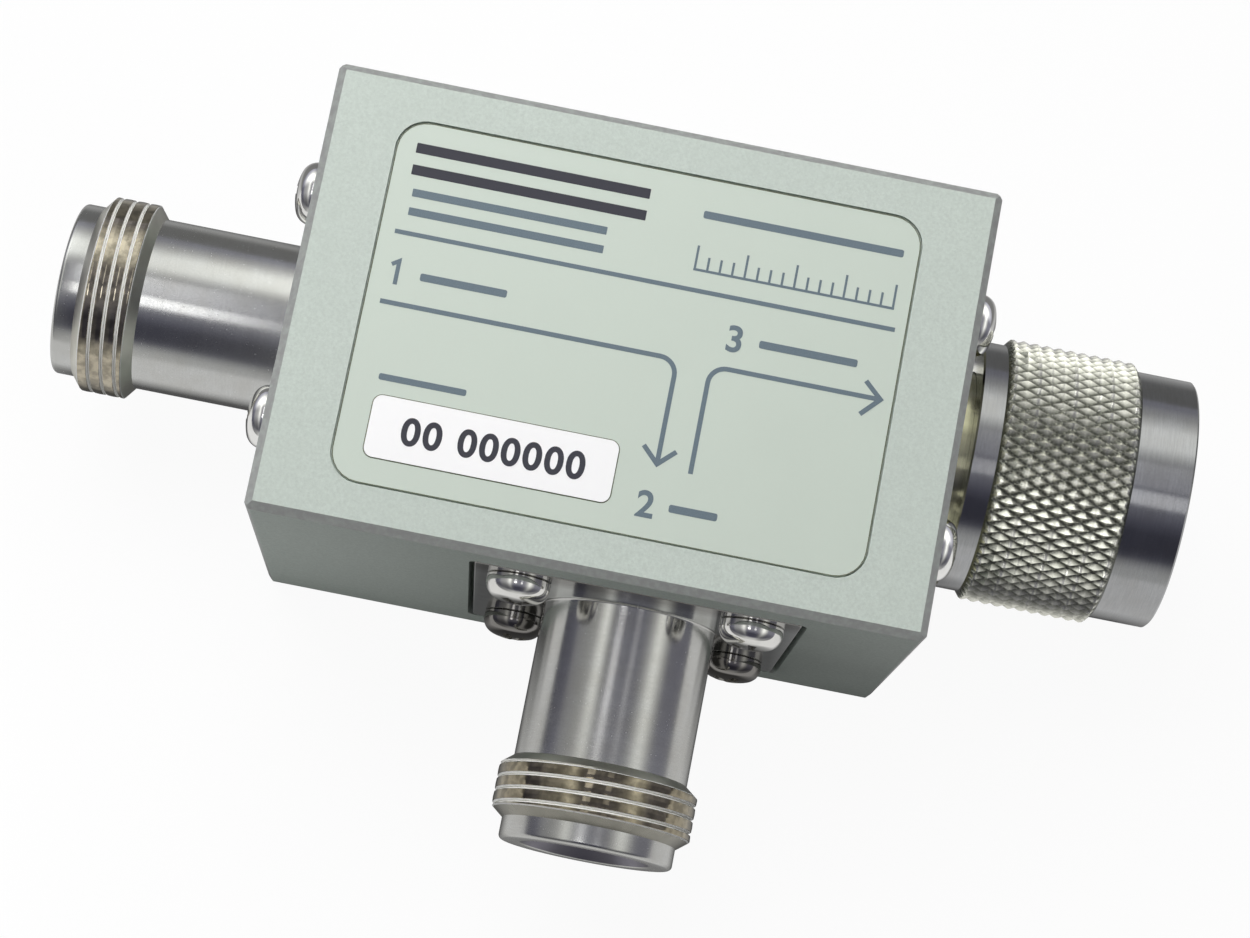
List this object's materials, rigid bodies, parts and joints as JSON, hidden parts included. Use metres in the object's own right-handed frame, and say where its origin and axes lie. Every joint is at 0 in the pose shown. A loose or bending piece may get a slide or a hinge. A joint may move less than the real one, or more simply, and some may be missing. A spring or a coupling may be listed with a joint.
{
  "type": "return loss bridge",
  "caption": "Small metal block with threaded coaxial jacks for source and load, a plug with a knurled coupling nut, and a balanced bridge circuit inside.",
  "frame": {"origin": "middle of the rear cover's outer face, on which the part rests", "axes": "+X towards the coupler connector, -Y towards the load connector, +Z out of the label"},
  "size_m": [0.0902, 0.0545, 0.034],
  "materials": {
    "housing": "matte",
    "rear_cover": "matte",
    "cover_screws": "satin",
    "front_label": "matte",
    "number_sticker": "satin",
    "source_body": "satin",
    "source_insulator": "satin",
    "source_contact": "gloss",
    "source_screws": "gloss",
    "load_body": "satin",
    "load_insulator": "satin",
    "load_contact": "gloss",
    "load_screws": "gloss",
    "coupler_body": "satin",
    "coupler_outer_contact": "gloss",
    "coupler_insulator": "satin",
    "coupler_pin": "gloss",
    "coupling_nut": "satin",
    "coupler_gasket": "matte",
    "coupler_snap_ring": "satin",
    "coupler_screws": "gloss",
    "circuit_board": "satin",
    "board_screws": "satin",
    "bridge_resistors": "satin",
    "balun_cores": "matte",
    "balun_coax": "satin"
  },
  "bodies": {
    "bridge": {"housing": "housing", "rear_cover": "rear_cover", "cover_screws": "cover_screws", "front_label": "front_label", "number_sticker": "number_sticker", "source_body": "source_body", "source_insulator": "source_insulator", "source_contact": "source_contact", "source_screws": "source_screws", "load_body": "load_body", "load_insulator": "load_insulator", "load_contact": "load_contact", "load_screws": "load_screws", "coupler_body": "coupler_body", "coupler_outer_contact": "coupler_outer_contact", "coupler_insulator": "coupler_insulator", "coupler_pin": "coupler_pin", "coupler_gasket": "coupler_gasket", "coupler_snap_ring": "coupler_snap_ring", "coupler_screws": "coupler_screws", "circuit_board": "circuit_board", "board_screws": "board_screws", "bridge_resistors": "bridge_resistors", "balun_cores": "balun_cores", "balun_coax": "balun_coax"},
    "coupling_nut": {"coupling_nut": "coupling_nut"}
  },
  "joints": [
    {"name": "coupling_nut_spin", "type": "hinge", "parent": "bridge", "child": "coupling_nut", "pos_m": [0.0365, 0, 0.017], "axis": [1, 0, 0], "continuous": true}
  ]
}
